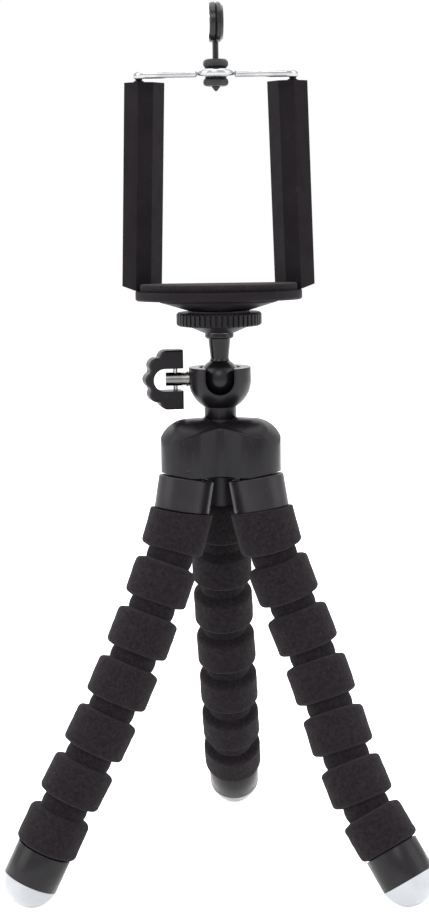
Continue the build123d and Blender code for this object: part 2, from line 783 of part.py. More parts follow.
# The grommet has a bulge above and below the wire, and a waist in the loop
def make_mirror_grommet():
    waist = loop_radius - wire_dia / 2 - grommet_clearance
    stem = mirror_stem_dia / 2
    plug = cylinder(waist, bulge_low, bulge_high)
    lower = cylinder(bulge_dia / 2, lower_bulge_bottom, bulge_low)
    upper = cylinder(bulge_dia / 2, bulge_high, upper_bulge_top)
    plug += fillet(lower.edges().filter_by(GeomType.CIRCLE), lower_bulge_height * bulge_round)
    plug += fillet(upper.edges().filter_by(GeomType.CIRCLE), upper_bulge_height * bulge_round)
    return Pos(0, loop_y, 0) * (plug - cylinder(stem, lower_bulge_bottom, upper_bulge_top))


# Places a disc built around +Z at the mirror, facing left and a little forwards
def at_mirror(shape):
    return Pos(0, loop_y, mirror_centre) * Rot(0, 0, mirror_turn) * Rot(0, -90, 0) * shape


# The shell is a thick disc with a groove round its rim, on a stem with a pointed barb
def make_mirror_shell():
    half = mirror_thickness / 2
    rim = mirror_dia / 2
    disc = turned((0, -half), (rim - mirror_rim_step, -half), (rim - mirror_rim_taper, mirror_rim_width - half),
                  (rim, -mirror_groove), (rim - mirror_groove, 0), (rim, mirror_groove),
                  (rim - mirror_rim_taper, half - mirror_edge_round),
                  (rim - mirror_rim_taper - mirror_edge_round, half), (0, half))
    disc -= cylinder(mirror_glass_dia / 2 + mirror_glass_clearance, half - mirror_glass_thickness, half)
    stem = cylinder(mirror_stem_dia / 2, lower_bulge_bottom, mirror_centre - rim + mirror_stem_overlap)
    point = lower_bulge_bottom - mirror_barb_length
    barb = turned((0, point), (mirror_barb_point, point),
                  (mirror_barb_dia / 2, lower_bulge_bottom - mirror_barb_point),
                  (mirror_barb_dia / 2, lower_bulge_bottom), (0, lower_bulge_bottom))
    return at_mirror(disc) + Pos(0, loop_y, 0) * (stem + barb)


# The glass is slightly domed
def make_mirror_glass():
    half = mirror_thickness / 2
    radius = mirror_glass_dia / 2
    crown = (radius**2 + mirror_glass_crown**2) / (2 * mirror_glass_crown)
    glass = cylinder(radius, half - mirror_glass_thickness, half + mirror_glass_crown)
    glass &= Pos(0, 0, half + mirror_glass_crown - crown) * Sphere(crown)
    return at_mirror(glass)


# Every node by its name, each leg by a loop
def make_nodes():
    nodes = {}
    for leg in leg_azimuth:
        planes = standing_leg(leg)
        nodes[f"{leg}_collar"] = make_collar(planes)
        for ring in range(ring_count):
            nodes[f"{leg}_foam_{ring + 1}"] = make_ring(planes, ring)
        nodes[f"{leg}_ferrule"] = make_ferrule(planes)
        nodes[f"{leg}_tip"] = make_tip(planes)
        nodes[f"{leg}_core_wire"] = make_core(planes)
    nodes["hub_shell"] = make_hub_shell()
    nodes["hub_base"] = make_hub_base()
    nodes["leg_hinge_pins"] = make_hinge_pins()
    nodes["hub_screw"] = make_hub_screw()
    nodes["head_cup"] = make_head_cup()
    nodes["ball"] = make_ball()
    nodes["ball_stem"] = make_ball_stem()
    nodes["tripod_screw"] = make_tripod_screw()
    nodes["locking_wheel"] = make_locking_wheel()
    nodes["wheel_washer"] = make_wheel_washer()
    nodes["clamp_bolt"] = make_clamp_bolt()
    nodes["pressure_pad"] = make_pressure_pad()
    nodes["cross_pin"] = make_cross_pin()
    nodes["flip_knob"] = make_flip_knob()
    nodes["clip_base"] = make_clip_base()
    nodes["clip_pad"] = make_clip_pad()
    nodes["clip_boss"] = make_clip_boss()
    nodes["nut_insert"] = make_nut_insert()
    for name, side in sides.items():
        nodes[f"wing_{name}"] = make_wing(side)
    nodes["wire_bracket"] = make_wire_bracket()
    nodes["wing_bushings"] = make_wing_bushings()
    nodes["clip_springs"] = make_clip_springs()
    nodes["mirror_grommet"] = make_mirror_grommet()
    nodes["mirror_shell"] = make_mirror_shell()
    nodes["mirror_glass"] = make_mirror_glass()
    return nodes


def main():
    os.makedirs("parts", exist_ok=True)
    for name, shape in make_nodes().items():
        export_step(shape, f"parts/{name}.step")
    for leg in leg_azimuth:
        planes = standing_leg(leg)
        tilts = [degrees(asin(min(1.0, hypot(p.z_dir.X, p.z_dir.Y)))) for p in planes[2:]]
        print(leg, "ring tilts in degrees:", " ".join(f"{tilt:.1f}" for tilt in tilts))


if __name__ == "__main__":
    main()
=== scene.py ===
import json
import math
import bpy
import numpy as np
from mathutils import Matrix, Vector


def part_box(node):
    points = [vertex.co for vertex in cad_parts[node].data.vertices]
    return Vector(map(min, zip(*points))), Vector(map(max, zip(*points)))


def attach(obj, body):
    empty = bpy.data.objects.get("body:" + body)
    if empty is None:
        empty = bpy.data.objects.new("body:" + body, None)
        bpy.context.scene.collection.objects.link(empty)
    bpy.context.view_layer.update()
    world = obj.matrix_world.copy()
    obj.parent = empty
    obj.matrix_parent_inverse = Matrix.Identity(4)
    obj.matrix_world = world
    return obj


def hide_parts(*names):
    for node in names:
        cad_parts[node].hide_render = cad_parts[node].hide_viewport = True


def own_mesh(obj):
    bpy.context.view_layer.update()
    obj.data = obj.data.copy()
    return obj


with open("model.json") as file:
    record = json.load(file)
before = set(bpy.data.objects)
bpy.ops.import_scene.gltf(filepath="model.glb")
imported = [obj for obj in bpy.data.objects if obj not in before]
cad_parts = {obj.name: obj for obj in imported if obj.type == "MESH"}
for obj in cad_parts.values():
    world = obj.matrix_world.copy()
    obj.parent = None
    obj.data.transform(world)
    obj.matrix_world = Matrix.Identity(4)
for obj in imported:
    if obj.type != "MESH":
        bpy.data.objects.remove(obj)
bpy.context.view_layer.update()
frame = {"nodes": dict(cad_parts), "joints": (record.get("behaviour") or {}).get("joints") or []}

mm = 0.001  # lengths below are in millimetres until they become a mesh, unless a note says metres
nodes = frame["nodes"]
jointPlace = {j["name"]: np.array(j["pos_m"]) / mm for j in frame["joints"] if j.get("pos_m")}
legNames = ("left", "right", "rear")
ringCount = 7
white = (1.0, 1.0, 1.0, 1.0)


# Camera, fitted to the photograph

view = {
    "place": (-1.9, -535.3, 203.7),
    "pitchDown": 8.185,  # degrees
    "roll": 0.81,  # degrees; the top of the picture leans left
    "lens": 72.3,
    "sensor": 36.0,
    "nearest": 50.0,
    "furthest": 20000.0,
}


# It looks along y, tipped down and rolled; its three axes are the columns of its matrix
def makeCamera():
    data = bpy.data.cameras.new("photoCamera")
    data.lens = view["lens"]
    data.sensor_width = view["sensor"]
    data.clip_start = view["nearest"] * mm
    data.clip_end = view["furthest"] * mm
    camera = bpy.data.objects.new("photoCamera", data)
    bpy.context.scene.collection.objects.link(camera)
    tipped = math.radians(view["pitchDown"])
    rolled = math.radians(view["roll"])
    ahead = Vector((0, math.cos(tipped), -math.sin(tipped)))
    up = Vector((0, math.sin(tipped), math.cos(tipped)))
    side = Vector((1, 0, 0))
    right = side * math.cos(rolled) - up * math.sin(rolled)
    top = up * math.cos(rolled) + side * math.sin(rolled)
    turn = Matrix((right, top, -ahead)).transposed().to_4x4()
    camera.matrix_world = Matrix.Translation(Vector(view["place"]) * mm) @ turn
    bpy.context.scene.camera = camera


# Studio: a pale world, five soft lamps and a white floor that keeps the object's shadow

studio = {
    "worldLevel": 0.42,  # how strongly the white world lights the object
    "floorReach": 3.0,  # metres, from the middle to each edge
    "floorColour": (0.93, 0.93, 0.93),
    "floorRough": 0.9,
    "floorSpecular": 0.1,
    "floorGlow": 0.75,  # lifts the floor towards white where it is seen directly
    "lampAim": (0, 0, 0.13),  # metres: the middle of the tripod
    "lamps": {  # place and size in metres, and power
        "keyLamp": ((-0.95, -0.30, 0.60), (0.7, 1.1), 5.0),
        "fillLamp": ((0.95, -0.25, 0.55), (0.7, 1.1), 4.0),
        "topLamp": ((0.0, 0.0, 1.10), (1.0, 0.9), 6.5),
        "backLamp": ((0.0, 1.00, 0.75), (2.6, 1.3), 13.0),
        "frontLamp": ((-0.15, -1.10, 0.95), (0.7, 0.5), 3.3),
    },
}


def makeLamp(name, place, size, power):
    data = bpy.data.lights.new(name, "AREA")
    data.shape = "RECTANGLE"
    data.size, data.size_y = size
    data.energy = power
    lamp = bpy.data.objects.new(name, data)
    bpy.context.scene.collection.objects.link(lamp)
    lamp.location = place
    lamp.visible_camera = False
    towards = Vector(studio["lampAim"]) - Vector(place)
    lamp.rotation_euler = towards.to_track_quat("-Z", "Y").to_euler()


# Gives 1 where the ray comes from the camera, straight, off something glossy or through something clear
def seenDirectly(tree):
    path = tree.nodes.new("ShaderNodeLightPath")
    seen = path.outputs["Is Camera Ray"]
    for label in ("Is Glossy Ray", "Is Transmission Ray"):
        either = tree.nodes.new("ShaderNodeMath")
        either.operation = "MAXIMUM"
        tree.links.new(seen, either.inputs[0])
        tree.links.new(path.outputs[label], either.inputs[1])
        seen = either.outputs[0]
    return seen


# Shows one shader where a surface lights others, and another where it is seen directly
def litAndSeen(tree, lit, seen):
    mix = tree.nodes.new("ShaderNodeMixShader")
    for socket, given in zip(mix.inputs, (seenDirectly(tree), lit, seen)):
        tree.links.new(given, socket)
    return mix.outputs[0]


# A plain white source of light: a Background or an Emission
def whiteLight(tree, kind, strength):
    node = tree.nodes.new(kind)
    node.inputs["Color"].default_value = white
    node.inputs["Strength"].default_value = strength
    return node.outputs[0]


def makeStudio():
    bpy.context.scene.view_settings.view_transform = "Standard"
    world = bpy.data.worlds.new("paleStudio")
    bpy.context.scene.world = world
    world.use_nodes = True
    tree = world.node_tree
    tree.nodes.clear()
    out = tree.nodes.new("ShaderNodeOutputWorld")
    lit = whiteLight(tree, "ShaderNodeBackground", studio["worldLevel"])
    seen = whiteLight(tree, "ShaderNodeBackground", 1.0)
    tree.links.new(litAndSeen(tree, lit, seen), out.inputs["Surface"])
    for name, (place, size, power) in studio["lamps"].items():
        makeLamp(name, place, size, power)


def makeFloor():
    reach = studio["floorReach"]
    corners = [(-reach, -reach, 0), (reach, -reach, 0), (reach, reach, 0), (-reach, reach, 0)]
    mesh = bpy.data.meshes.new("paleFloor")
    mesh.from_pydata(corners, [], [(0, 1, 2, 3)])
    floor = bpy.data.objects.new("paleFloor", mesh)
    bpy.context.scene.collection.objects.link(floor)
    paint = bpy.data.materials.new("paleFloor")
    paint.use_nodes = True
    tree = paint.node_tree
    shader = tree.nodes["Principled BSDF"]
    shader.inputs["Base Color"].default_value = (*studio["floorColour"], 1)
    shader.inputs["Roughness"].default_value = studio["floorRough"]
    shader.inputs["Specular IOR Level"].default_value = studio["floorSpecular"]
    both = tree.nodes.new("ShaderNodeAddShader")
    tree.links.new(shader.outputs[0], both.inputs[0])
    tree.links.new(whiteLight(tree, "ShaderNodeEmission", studio["floorGlow"]), both.inputs[1])
    shown = litAndSeen(tree, shader.outputs[0], both.outputs[0])
    tree.links.new(shown, tree.nodes["Material Output"].inputs["Surface"])
    mesh.materials.append(paint)


makeCamera()
makeStudio()
makeFloor()
print("camera, studio and floor are set")


# Effects that several materials share, as node groups that put out a colour, a mask, a value or a height.
# A scale is in waves per metre, and "from" is the level of noise above which a spot or a mark shows.

colourSocket = "NodeSocketColor"
valueSocket = "NodeSocketFloat"

effects = {
    "colourCut": (0.34, 0.66),  # the noise between these runs from the dark colour to the pale one
    "valueCut": (0.3, 0.7),  # and from the low value to the high one
    "speckEdge": 0.06,  # the noise that a spot takes from its rim to full
    "markEdge": 0.04,
    "markTurn": (0.5, 0.9, 0.3),  # radians
    "markStretch": (1.0, 14.0, 1.6),  # thin one way, long the others
    "cellShare": 0.6,  # the part of the cells in the height of foam, beside the fibres
    "fibreScale": 2.3,  # how much finer the fibres are than the cells
}


# An empty group, from a name, kind and value for each input and the name and kind of its output
def newGroup(name, inputs, output):
    group = bpy.data.node_groups.new(name, "ShaderNodeTree")
    for label, kind, value in inputs:
        group.interface.new_socket(label, in_out="INPUT", socket_type=kind).default_value = value
    group.interface.new_socket(output[0], in_out="OUTPUT", socket_type=output[1])
    start = group.nodes.new("NodeGroupInput")
    end = group.nodes.new("NodeGroupOutput")
    return group, start, end


def placeOf(tree):
    return tree.nodes.new("ShaderNodeTexCoord").outputs["Object"]


# Links a socket to another one, or sets its value
def feed(tree, socket, given):
    if isinstance(given, bpy.types.NodeSocket):
        tree.links.new(given, socket)
    else:
        socket.default_value = given


def noiseOf(tree, place, scale, detail=2.0, roughness=0.5):
    noise = tree.nodes.new("ShaderNodeTexNoise")
    noise.inputs["Detail"].default_value = detail
    noise.inputs["Roughness"].default_value = roughness
    tree.links.new(place, noise.inputs["Vector"])
    feed(tree, noise.inputs["Scale"], scale)
    return noise.outputs["Fac"]


# Maps a value from one range to another, and stays inside the second
def spread(tree, value, fromLow, fromHigh, toLow=0.0, toHigh=1.0):
    ramp = tree.nodes.new("ShaderNodeMapRange")
    tree.links.new(value, ramp.inputs["Value"])
    feed(tree, ramp.inputs["From Min"], fromLow)
    feed(tree, ramp.inputs["From Max"], fromHigh)
    feed(tree, ramp.inputs["To Min"], toLow)
    feed(tree, ramp.inputs["To Max"], toHigh)
    return ramp.outputs["Result"]


def mathOf(tree, operation, first, second):
    node = tree.nodes.new("ShaderNodeMath")
    node.operation = operation
    feed(tree, node.inputs[0], first)
    feed(tree, node.inputs[1], second)
    return node.outputs[0]


def mixColours(tree, share, first, second):
    mix = tree.nodes.new("ShaderNodeMix")
    mix.data_type = "RGBA"
    sockets = {socket.name: socket for socket in mix.inputs if socket.enabled}
    feed(tree, sockets["Factor"], share)
    feed(tree, sockets["A"], (*first, 1) if isinstance(first, tuple) else first)
    feed(tree, sockets["B"], (*second, 1) if isinstance(second, tuple) else second)
    return next(socket for socket in mix.outputs if socket.enabled)


# Two close colours that drift into each other over patches of a given size
def makeColourDrift():
    inputs = [
        ("Dark", colourSocket, (0.01, 0.01, 0.01, 1)),
        ("Pale", colourSocket, (0.02, 0.02, 0.02, 1)),
        ("Scale", valueSocket, 120.0),
    ]
    group, start, end = newGroup("colourDrift", inputs, ("Colour", colourSocket))
    noise = noiseOf(group, placeOf(group), start.outputs["Scale"], detail=3.0)
    share = spread(group, noise, *effects["colourCut"])
    colour = mixColours(group, share, start.outputs["Dark"], start.outputs["Pale"])
    group.links.new(colour, end.inputs["Colour"])
    return group


# A value that wanders between a low and a high one, in broad patches with finer ones among them
def makeValueDrift():
    inputs = [
        ("Low", valueSocket, 0.3),
        ("High", valueSocket, 0.5),
        ("Scale", valueSocket, 200.0),
    ]
    group, start, end = newGroup("valueDrift", inputs, ("Value", valueSocket))
    noise = noiseOf(group, placeOf(group), start.outputs["Scale"], detail=4.0, roughness=0.62)
    value = spread(group, noise, *effects["valueCut"], start.outputs["Low"], start.outputs["High"])
    group.links.new(value, end.inputs["Value"])
    return group


# The fine even grain of a moulded surface
def makeFineGrain():
    group, start, end = newGroup("fineGrain", [("Scale", valueSocket, 4000.0)], ("Height", valueSocket))
    height = noiseOf(group, placeOf(group), start.outputs["Scale"], detail=3.0, roughness=0.6)
    group.links.new(height, end.inputs["Height"])
    return group


# The mask is 1 where a noise is above a level, with a thin soft edge
def maskAbove(group, start, end, noise, edge):
    full = mathOf(group, "ADD", start.outputs["From"], edge)
    group.links.new(spread(group, noise, start.outputs["From"], full), end.inputs["Mask"])


# Small spots, sharp at their rims
def makeSpecks():
    inputs = [("Scale", valueSocket, 1500.0), ("From", valueSocket, 0.6)]
    group, start, end = newGroup("specks", inputs, ("Mask", valueSocket))
    noise = noiseOf(group, placeOf(group), start.outputs["Scale"], detail=1.0)
    maskAbove(group, start, end, noise, effects["speckEdge"])
    return group


# Hair-fine handling marks, thin one way and long the others
def makeHairMarks():
    inputs = [("Scale", valueSocket, 260.0), ("From", valueSocket, 0.68)]
    group, start, end = newGroup("hairMarks", inputs, ("Mask", valueSocket))
    turn = group.nodes.new("ShaderNodeMapping")
    turn.inputs["Rotation"].default_value = effects["markTurn"]
    turn.inputs["Scale"].default_value = effects["markStretch"]
    group.links.new(placeOf(group), turn.inputs["Vector"])
    noise = noiseOf(group, turn.outputs["Vector"], start.outputs["Scale"])
    maskAbove(group, start, end, noise, effects["markEdge"])
    return group


# The open cells of foam: the height falls into each cell, and the walls between them stand up
def makeFoamCells():
    group, start, end = newGroup("foamCells", [("Scale", valueSocket, 2200.0)], ("Height", valueSocket))
    place = placeOf(group)
    cells = group.nodes.new("ShaderNodeTexVoronoi")
    cells.feature = "SMOOTH_F1"
    group.links.new(place, cells.inputs["Vector"])
    group.links.new(start.outputs["Scale"], cells.inputs["Scale"])
    walls = mathOf(group, "MULTIPLY", cells.outputs["Distance"], effects["cellShare"])
    finer = mathOf(group, "MULTIPLY", start.outputs["Scale"], effects["fibreScale"])
    fibres = noiseOf(group, place, finer, detail=3.0, roughness=0.7)
    group.links.new(mathOf(group, "ADD", walls, fibres), end.inputs["Height"])
    return group


groups = {
    "colourDrift": makeColourDrift(),
    "valueDrift": makeValueDrift(),
    "fineGrain": makeFineGrain(),
    "specks": makeSpecks(),
    "hairMarks": makeHairMarks(),
    "foamCells": makeFoamCells(),
}


# Puts a shared effect into a material and sets its named inputs
def useGroup(tree, name, **values):
    node = tree.nodes.new("ShaderNodeGroup")
    node.node_tree = groups[name]
    for label, value in values.items():
        node.inputs[label].default_value = (*value, 1) if isinstance(value, tuple) else value
    return node.outputs[0]


def newMaterial(name):
    material = bpy.data.materials.new(name)
    material.use_nodes = True
    return material, material.node_tree, material.node_tree.nodes["Principled BSDF"]


def driftingColour(tree, look, scale):
    return useGroup(tree, "colourDrift", Dark=look["dark"], Pale=look["pale"], Scale=scale)


# Moves a colour towards another where a mask is, by a share of it
def tinted(tree, colour, mask, share, towards):
    return mixColours(tree, mathOf(tree, "MULTIPLY", mask, share), colour, towards)


# Lets the roughness drift between two values, and rise where a mask is
def setRoughness(tree, shader, lowHigh, scale, mask=None, rise=0.0):
    low, high = lowHigh
    rough = useGroup(tree, "valueDrift", Low=low, High=high, Scale=scale)
    if mask is not None:
        rough = mathOf(tree, "ADD", rough, mathOf(tree, "MULTIPLY", mask, rise))
    tree.links.new(rough, shader.inputs["Roughness"])


# Depth is in millimetres
def addBump(tree, shader, height, strength, depth):
    bump = tree.nodes.new("ShaderNodeBump")
    bump.inputs["Strength"].default_value = strength
    bump.inputs["Distance"].default_value = depth * mm
    tree.links.new(height, bump.inputs["Height"])
    tree.links.new(bump.outputs["Normal"], shader.inputs["Normal"])


# Moulded plastics: grain is the scale of the moulded surface, and depth its height

plastics = {
    "hub_plastic": {
        "dark": (0.0048, 0.0034, 0.0056), "pale": (0.0078, 0.006, 0.0088),
        "rough": (0.3, 0.4), "grain": 3800.0, "depth": 0.012, "specular": 0.24,
    },
    "collar_plastic": {
        "dark": (0.0125, 0.0098, 0.0137), "pale": (0.0175, 0.0143, 0.0187),
        "rough": (0.3, 0.42), "grain": 3800.0, "depth": 0.012, "specular": 0.27,
    },
    "inner_plastic": {
        "dark": (0.01, 0.01, 0.01), "pale": (0.015, 0.015, 0.015),
        "rough": (0.45, 0.6), "grain": 2600.0, "depth": 0.02, "specular": 0.2,
    },
    "ferrule_plastic": {
        "dark": (0.009, 0.0074, 0.009), "pale": (0.0125, 0.0105, 0.0125),
        "rough": (0.26, 0.36), "grain": 4200.0, "depth": 0.008, "specular": 0.25,
    },
    "ball_plastic": {
        "dark": (0.0052, 0.004, 0.0056), "pale": (0.008, 0.0066, 0.0085),
        "rough": (0.2, 0.3), "grain": 4200.0, "depth": 0.006, "specular": 0.29,
    },
    "wheel_plastic": {
        "dark": (0.007, 0.0058, 0.0075), "pale": (0.0105, 0.009, 0.0112),
        "rough": (0.38, 0.52), "grain": 3000.0, "depth": 0.015, "specular": 0.19,
    },
    "knob_plastic": {
        "dark": (0.008, 0.0062, 0.0082), "pale": (0.0112, 0.0092, 0.0115),
        "rough": (0.36, 0.48), "grain": 3000.0, "depth": 0.015, "specular": 0.18,
    },
    "clip_plastic": {
        "dark": (0.0072, 0.0048, 0.0075), "pale": (0.01, 0.0072, 0.0104),
        "rough": (0.44, 0.56), "grain": 2600.0, "depth": 0.02, "specular": 0.14,
    },
    "wing_plastic": {
        "dark": (0.0096, 0.0072, 0.0098), "pale": (0.0132, 0.0104, 0.0136),
        "rough": (0.48, 0.6), "grain": 2400.0, "depth": 0.022, "specular": 0.07,
    },
    "mirror_plastic": {
        "dark": (0.01, 0.0088, 0.01), "pale": (0.014, 0.0125, 0.014),
        "rough": (0.14, 0.24), "grain": 4200.0, "depth": 0.005, "specular": 0.33,
    },
}

plasticWear = {
    "patchScale": 140.0,
    "roughScale": 210.0,
    "markScale": 260.0,
    "markFrom": 0.69,
    "markShare": 0.08,
    "markRough": 0.1,
    "dustScale": 1900.0,
    "dustFrom": 0.75,
    "dustShare": 0.07,
    "wornColour": (0.16, 0.16, 0.165),
    "bump": 0.6,
}


def makePlastic(name, look):
    wear = plasticWear
    material, tree, shader = newMaterial(name)
    colour = driftingColour(tree, look, wear["patchScale"])
    marks = useGroup(tree, "hairMarks", Scale=wear["markScale"], From=wear["markFrom"])
    dust = useGroup(tree, "specks", Scale=wear["dustScale"], From=wear["dustFrom"])
    markShare = mathOf(tree, "MULTIPLY", marks, wear["markShare"])
    dustShare = mathOf(tree, "MULTIPLY", dust, wear["dustShare"])
    worn = mixColours(tree, mathOf(tree, "ADD", markShare, dustShare), colour, wear["wornColour"])
    tree.links.new(worn, shader.inputs["Base Color"])
    setRoughness(tree, shader, look["rough"], wear["roughScale"], marks, wear["markRough"])
    shader.inputs["Specular IOR Level"].default_value = look["specular"]
    addBump(tree, shader, useGroup(tree, "fineGrain", Scale=look["grain"]), wear["bump"], look["depth"])
    return material


# Metals

metals = {
    "steel": {
        "dark": (0.42, 0.42, 0.43), "pale": (0.56, 0.56, 0.57), "rough": (0.22, 0.36), "marks": 0.25,
    },
    "core_aluminium": {
        "dark": (0.50, 0.50, 0.51), "pale": (0.62, 0.62, 0.64), "rough": (0.34, 0.5), "marks": 0.3,
    },
    "bolt_nickel": {
        "dark": (0.115, 0.11, 0.106), "pale": (0.20, 0.193, 0.188), "rough": (0.2, 0.3), "marks": 0.3,
    },
    "nut_brass": {
        "dark": (0.50, 0.37, 0.17), "pale": (0.66, 0.50, 0.25), "rough": (0.24, 0.38), "marks": 0.25,
    },
    "wire_chrome": {
        "dark": (0.33, 0.335, 0.345), "pale": (0.45, 0.455, 0.465), "rough": (0.18, 0.26), "marks": 0.12,
    },
}

metalWear = {
    "patchScale": 160.0,
    "roughScale": 260.0,
    "markScale": 420.0,
    "markFrom": 0.64,
    "markRough": 0.12,
    "markColour": (0.2, 0.2, 0.2),
    "grain": 3000.0,
    "bump": 0.25,
    "depth": 0.004,
}


def makeMetal(name, look):
    wear = metalWear
    material, tree, shader = newMaterial(name)
    colour = driftingColour(tree, look, wear["patchScale"])
    marks = useGroup(tree, "hairMarks", Scale=wear["markScale"], From=wear["markFrom"])
    dimmed = tinted(tree, colour, marks, look["marks"], wear["markColour"])
    tree.links.new(dimmed, shader.inputs["Base Color"])
    setRoughness(tree, shader, look["rough"], wear["roughScale"], marks, wear["markRough"])
    shader.inputs["Metallic"].default_value = 1.0
    addBump(tree, shader, useGroup(tree, "fineGrain", Scale=wear["grain"]), wear["bump"], wear["depth"])
    return material


# Foams: cells in the bump, painted shade that darkens the colour down into each cell, and painted glints
# where fibres catch the light as small pale specks

# The pale colour of each foam is a painted glint, where fibres catch the light
foams = {
    "foam": {
        "dark": (0.0108, 0.008, 0.0102), "pale": (0.0222, 0.0174, 0.0212),
        "glintColour": (0.055, 0.046, 0.053), "cells": 2100.0, "depth": 0.16,
    },
    "pad_foam": {
        "dark": (0.021, 0.0168, 0.0175), "pale": (0.030, 0.0245, 0.0255),
        "glintColour": (0.075, 0.064, 0.064), "cells": 2800.0, "depth": 0.10,
    },
}

foamSkin = {
    "patchScale": 1000.0,
    "cellShadeColour": (0.006, 0.005, 0.006),  # painted shade, down in the cells
    "cellHeight": (0.45, 0.85),  # the painted shade fades from the floor of a cell to the top of its wall
    "ownShareInShade": 0.55,  # the share of the foam's own colour under the painted shade at the floor of a cell
    # painted glints where fibres catch the light: the size of the specks, the noise they start at and their
    # share
    "fibreScale": 2600.0,
    "glintFrom": 0.66,
    "glintShare": 0.4,
    "rough": (0.82, 0.98),
    "roughScale": 420.0,
    "specular": 0.12,
    "sheen": 0.04,
    "sheenRough": 0.55,
    "bump": 0.7,
}


def makeFoam(name, look):
    skin = foamSkin
    material, tree, shader = newMaterial(name)
    colour = driftingColour(tree, look, skin["patchScale"])
    cells = useGroup(tree, "foamCells", Scale=look["cells"])
    # painted shade: the colour darkens towards the floor of each cell
    ownShare = spread(tree, cells, *skin["cellHeight"], skin["ownShareInShade"], 1.0)
    shaded = mixColours(tree, ownShare, skin["cellShadeColour"], colour)
    # painted glints: pale specks where fibres catch the light
    fibres = useGroup(tree, "specks", Scale=skin["fibreScale"], From=skin["glintFrom"])
    glinted = tinted(tree, shaded, fibres, skin["glintShare"], look["glintColour"])
    tree.links.new(glinted, shader.inputs["Base Color"])
    setRoughness(tree, shader, skin["rough"], skin["roughScale"])
    shader.inputs["Specular IOR Level"].default_value = skin["specular"]
    shader.inputs["Sheen Weight"].default_value = skin["sheen"]
    shader.inputs["Sheen Roughness"].default_value = skin["sheenRough"]
    addBump(tree, shader, cells, skin["bump"], look["depth"])
    return material


# The domed tips: pale silver plastic, a little cloudy, scuffed where they stand

tipPlastic = {
    "dark": (0.58, 0.60, 0.63),
    "pale": (0.68, 0.70, 0.73),
    "patchScale": 90.0,
    "scuffHeight": 2.2,  # above the floor
    "scuffScale": 900.0,
    "scuffFrom": 0.46,
    "scuffShare": 0.35,
    "scuffRough": 0.25,
    "scuffColour": (0.32, 0.31, 0.30),
    "rough": (0.28, 0.4),
    "roughScale": 260.0,
    "grain": 2600.0,
    "bump": 0.4,
    "depth": 0.01,
}


def makeTipPlastic(name):
    look = tipPlastic
    material, tree, shader = newMaterial(name)
    colour = driftingColour(tree, look, look["patchScale"])
    parts = tree.nodes.new("ShaderNodeSeparateXYZ")
    tree.links.new(placeOf(tree), parts.inputs[0])
    low = spread(tree, parts.outputs["Z"], 0.0, look["scuffHeight"] * mm, 1.0, 0.0)
    spots = useGroup(tree, "specks", Scale=look["scuffScale"], From=look["scuffFrom"])
    scuff = mathOf(tree, "MULTIPLY", low, spots)
    scuffed = tinted(tree, colour, scuff, look["scuffShare"], look["scuffColour"])
    tree.links.new(scuffed, shader.inputs["Base Color"])
    setRoughness(tree, shader, look["rough"], look["roughScale"], scuff, look["scuffRough"])
    addBump(tree, shader, useGroup(tree, "fineGrain", Scale=look["grain"]), look["bump"], look["depth"])
    return material


# Rubber, with a faint pale bloom

softRubber = {
    "dark": (0.012, 0.012, 0.012),
    "pale": (0.019, 0.019, 0.019),
    "patchScale": 240.0,
    "bloomScale": 1300.0,
    "bloomFrom": 0.6,
    "bloomShare": 0.1,
    "bloomColour": (0.12, 0.12, 0.12),
    "rough": (0.42, 0.6),
    "roughScale": 300.0,
    "specular": 0.4,
    "grain": 2600.0,
    "bump": 0.5,
    "depth": 0.02,
}


def makeRubber(name):
    look = softRubber
    material, tree, shader = newMaterial(name)
    colour = driftingColour(tree, look, look["patchScale"])
    bloom = useGroup(tree, "specks", Scale=look["bloomScale"], From=look["bloomFrom"])
    whitened = tinted(tree, colour, bloom, look["bloomShare"], look["bloomColour"])
    tree.links.new(whitened, shader.inputs["Base Color"])
    setRoughness(tree, shader, look["rough"], look["roughScale"])
    shader.inputs["Specular IOR Level"].default_value = look["specular"]
    addBump(tree, shader, useGroup(tree, "fineGrain", Scale=look["grain"]), look["bump"], look["depth"])
    return material


# The mirror's face: silvered behind a hard coat, with a faint grey-green tint and a few wipe marks

mirrorFace = {
    "dark": (0.62, 0.66, 0.64),
    "pale": (0.70, 0.73, 0.71),
    "patchScale": 60.0,
    "wipeScale": 300.0,
    "wipeFrom": 0.62,
    "wipeRough": 0.08,
    "rough": (0.02, 0.06),
    "roughScale": 200.0,
    "waveScale": 600.0,
    "bump": 0.15,
    "depth": 0.004,
}


def makeMirrorFace(name):
    look = mirrorFace
    material, tree, shader = newMaterial(name)
    tree.links.new(driftingColour(tree, look, look["patchScale"]), shader.inputs["Base Color"])
    wiped = useGroup(tree, "hairMarks", Scale=look["wipeScale"], From=look["wipeFrom"])
    setRoughness(tree, shader, look["rough"], look["roughScale"], wiped, look["wipeRough"])
    shader.inputs["Metallic"].default_value = 1.0
    addBump(tree, shader, useGroup(tree, "fineGrain", Scale=look["waveScale"]), look["bump"], look["depth"])
    return material


finishes = {name: makePlastic(name, look) for name, look in plastics.items()}
finishes.update({name: makeMetal(name, look) for name, look in metals.items()})
finishes.update({name: makeFoam(name, look) for name, look in foams.items()})
finishes["tip_plastic"] = makeTipPlastic("tip_plastic")
finishes["rubber"] = makeRubber("rubber")
finishes["mirror_face"] = makeMirrorFace("mirror_face")


# Which finish each CAD node has

